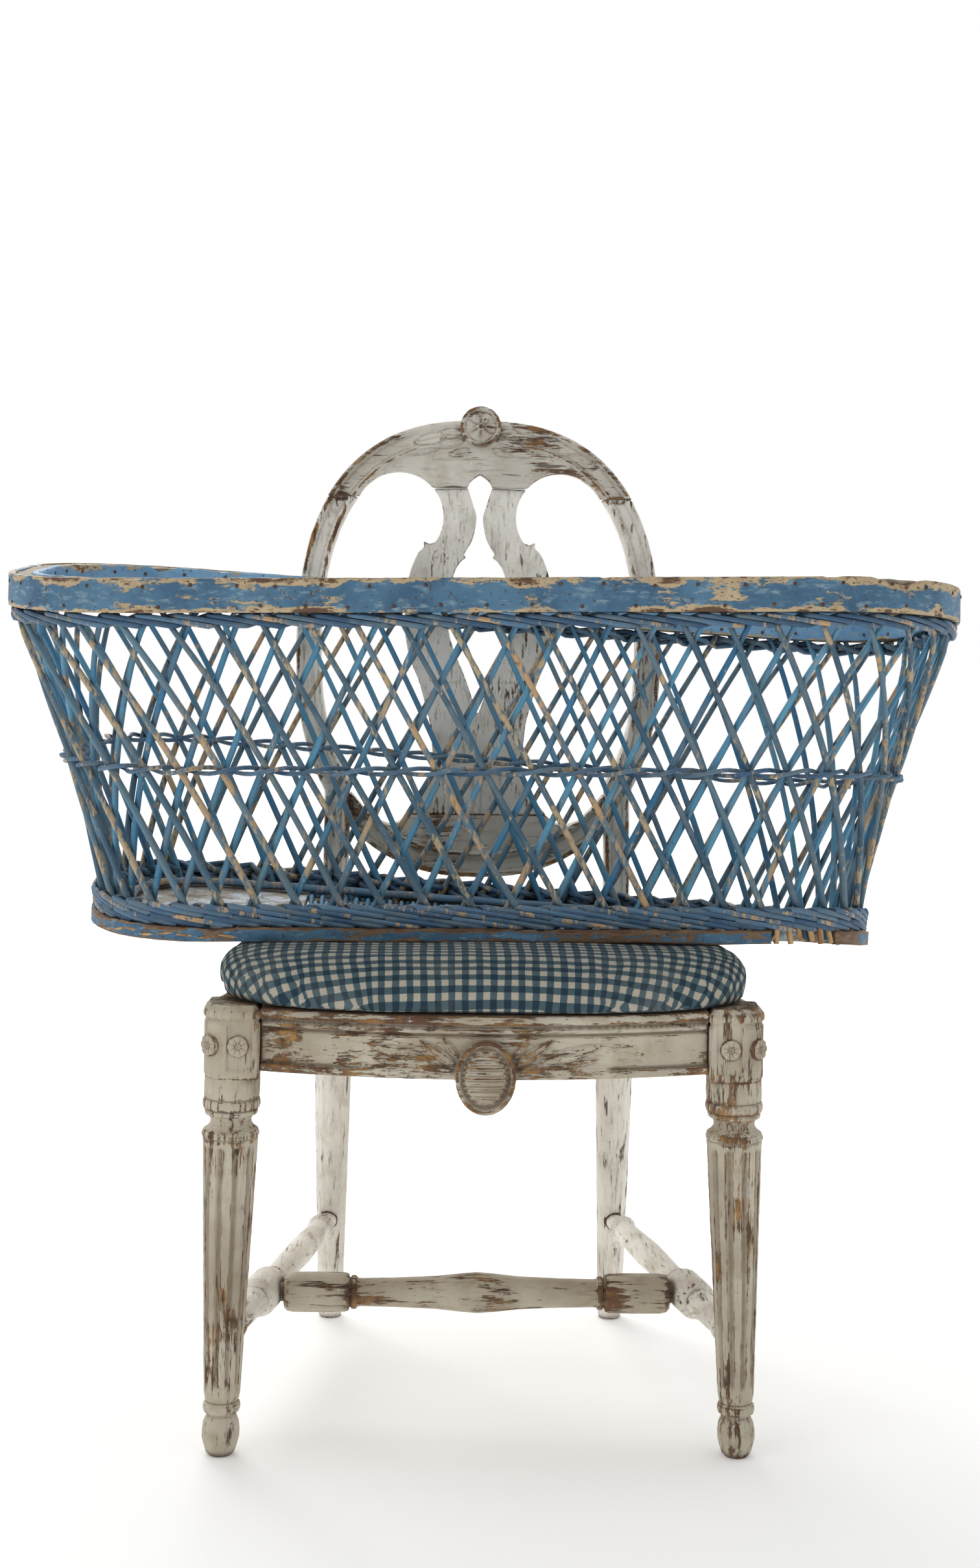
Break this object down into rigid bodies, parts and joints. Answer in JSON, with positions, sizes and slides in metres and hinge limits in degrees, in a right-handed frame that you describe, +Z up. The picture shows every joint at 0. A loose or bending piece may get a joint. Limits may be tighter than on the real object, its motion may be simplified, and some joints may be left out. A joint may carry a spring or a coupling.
{
  "type": "bassinet on a chair stand",
  "caption": "Painted open-weave wicker bassinet resting on the padded drop-in seat of a carved oval-back side chair with turned stretchers.",
  "frame": {"origin": "on the floor, under the middle of the object's bounding box", "axes": "+Z up, +X along the bassinet's length to the right seen from the front, +Y from the chair's front to its back"},
  "size_m": [0.8884, 0.5301, 0.9523],
  "materials": {
    "worn_white_wood": "aged chalk paint worn to the wood",
    "blue_wood": "chipped matt paint",
    "blue_wicker": "worn matt paint on willow",
    "raw_wood": "bare",
    "webbing": "woven jute",
    "gingham_cloth": "woven cotton check"
  },
  "bodies": {
    "chair": {"back_lower_rail": "worn_white_wood", "back_splat": "worn_white_wood", "crest_rail": "worn_white_wood", "cross_stretcher": "worn_white_wood", "front_corner_block_left": "raw_wood", "front_corner_block_right": "raw_wood", "front_leg_left": "worn_white_wood", "front_leg_right": "worn_white_wood", "front_rail": "worn_white_wood", "rear_corner_block_left": "raw_wood", "rear_corner_block_right": "raw_wood", "rear_leg_left": "worn_white_wood", "rear_leg_right": "worn_white_wood", "rear_rail": "worn_white_wood", "side_rail_left": "worn_white_wood", "side_rail_right": "worn_white_wood", "side_stretcher_left": "worn_white_wood", "side_stretcher_right": "worn_white_wood"},
    "seat": {"seat_cushion": "gingham_cloth", "seat_frame_front": "raw_wood", "seat_frame_left": "raw_wood", "seat_frame_rear": "raw_wood", "seat_frame_right": "raw_wood", "webbing_crosswise_1": "webbing", "webbing_crosswise_2": "webbing", "webbing_crosswise_3": "webbing", "webbing_lengthwise_1": "webbing", "webbing_lengthwise_2": "webbing", "webbing_lengthwise_3": "webbing"},
    "bassinet": {"base_board_left": "blue_wood", "base_board_right": "blue_wood", "base_hoop": "blue_wood", "base_ring": "blue_wicker", "base_stick_1": "blue_wicker", "base_stick_2": "blue_wicker", "base_stick_3": "blue_wicker", "base_stick_4": "blue_wicker", "base_stick_5": "blue_wicker", "base_weave": "blue_wicker", "bottom_waling_inner": "blue_wicker", "bottom_waling_outer": "blue_wicker", "inner_stakes_back": "blue_wicker", "inner_stakes_front": "blue_wicker", "inner_stakes_left_back": "blue_wicker", "inner_stakes_left_front": "blue_wicker", "inner_stakes_right_back": "blue_wicker", "inner_stakes_right_front": "blue_wicker", "outer_stakes_back": "blue_wicker", "outer_stakes_front": "blue_wicker", "outer_stakes_left_back": "blue_wicker", "outer_stakes_left_front": "blue_wicker", "outer_stakes_right_back": "blue_wicker", "outer_stakes_right_front": "blue_wicker", "rim_filler": "blue_wood", "rim_inner_hoop": "blue_wood", "rim_outer_hoop": "blue_wood", "top_waling_inner": "blue_wicker", "top_waling_outer": "blue_wicker"}
  },
  "joints": [
    {"name": "seat_lift", "type": "slide", "parent": "chair", "child": "seat", "axis": [0, 0, 1], "range_m": [0, 0.1]},
    {"name": "basket_lift", "type": "slide", "parent": "seat", "child": "bassinet", "axis": [0, 0, 1], "range_m": [0, 0.56]}
  ]
}
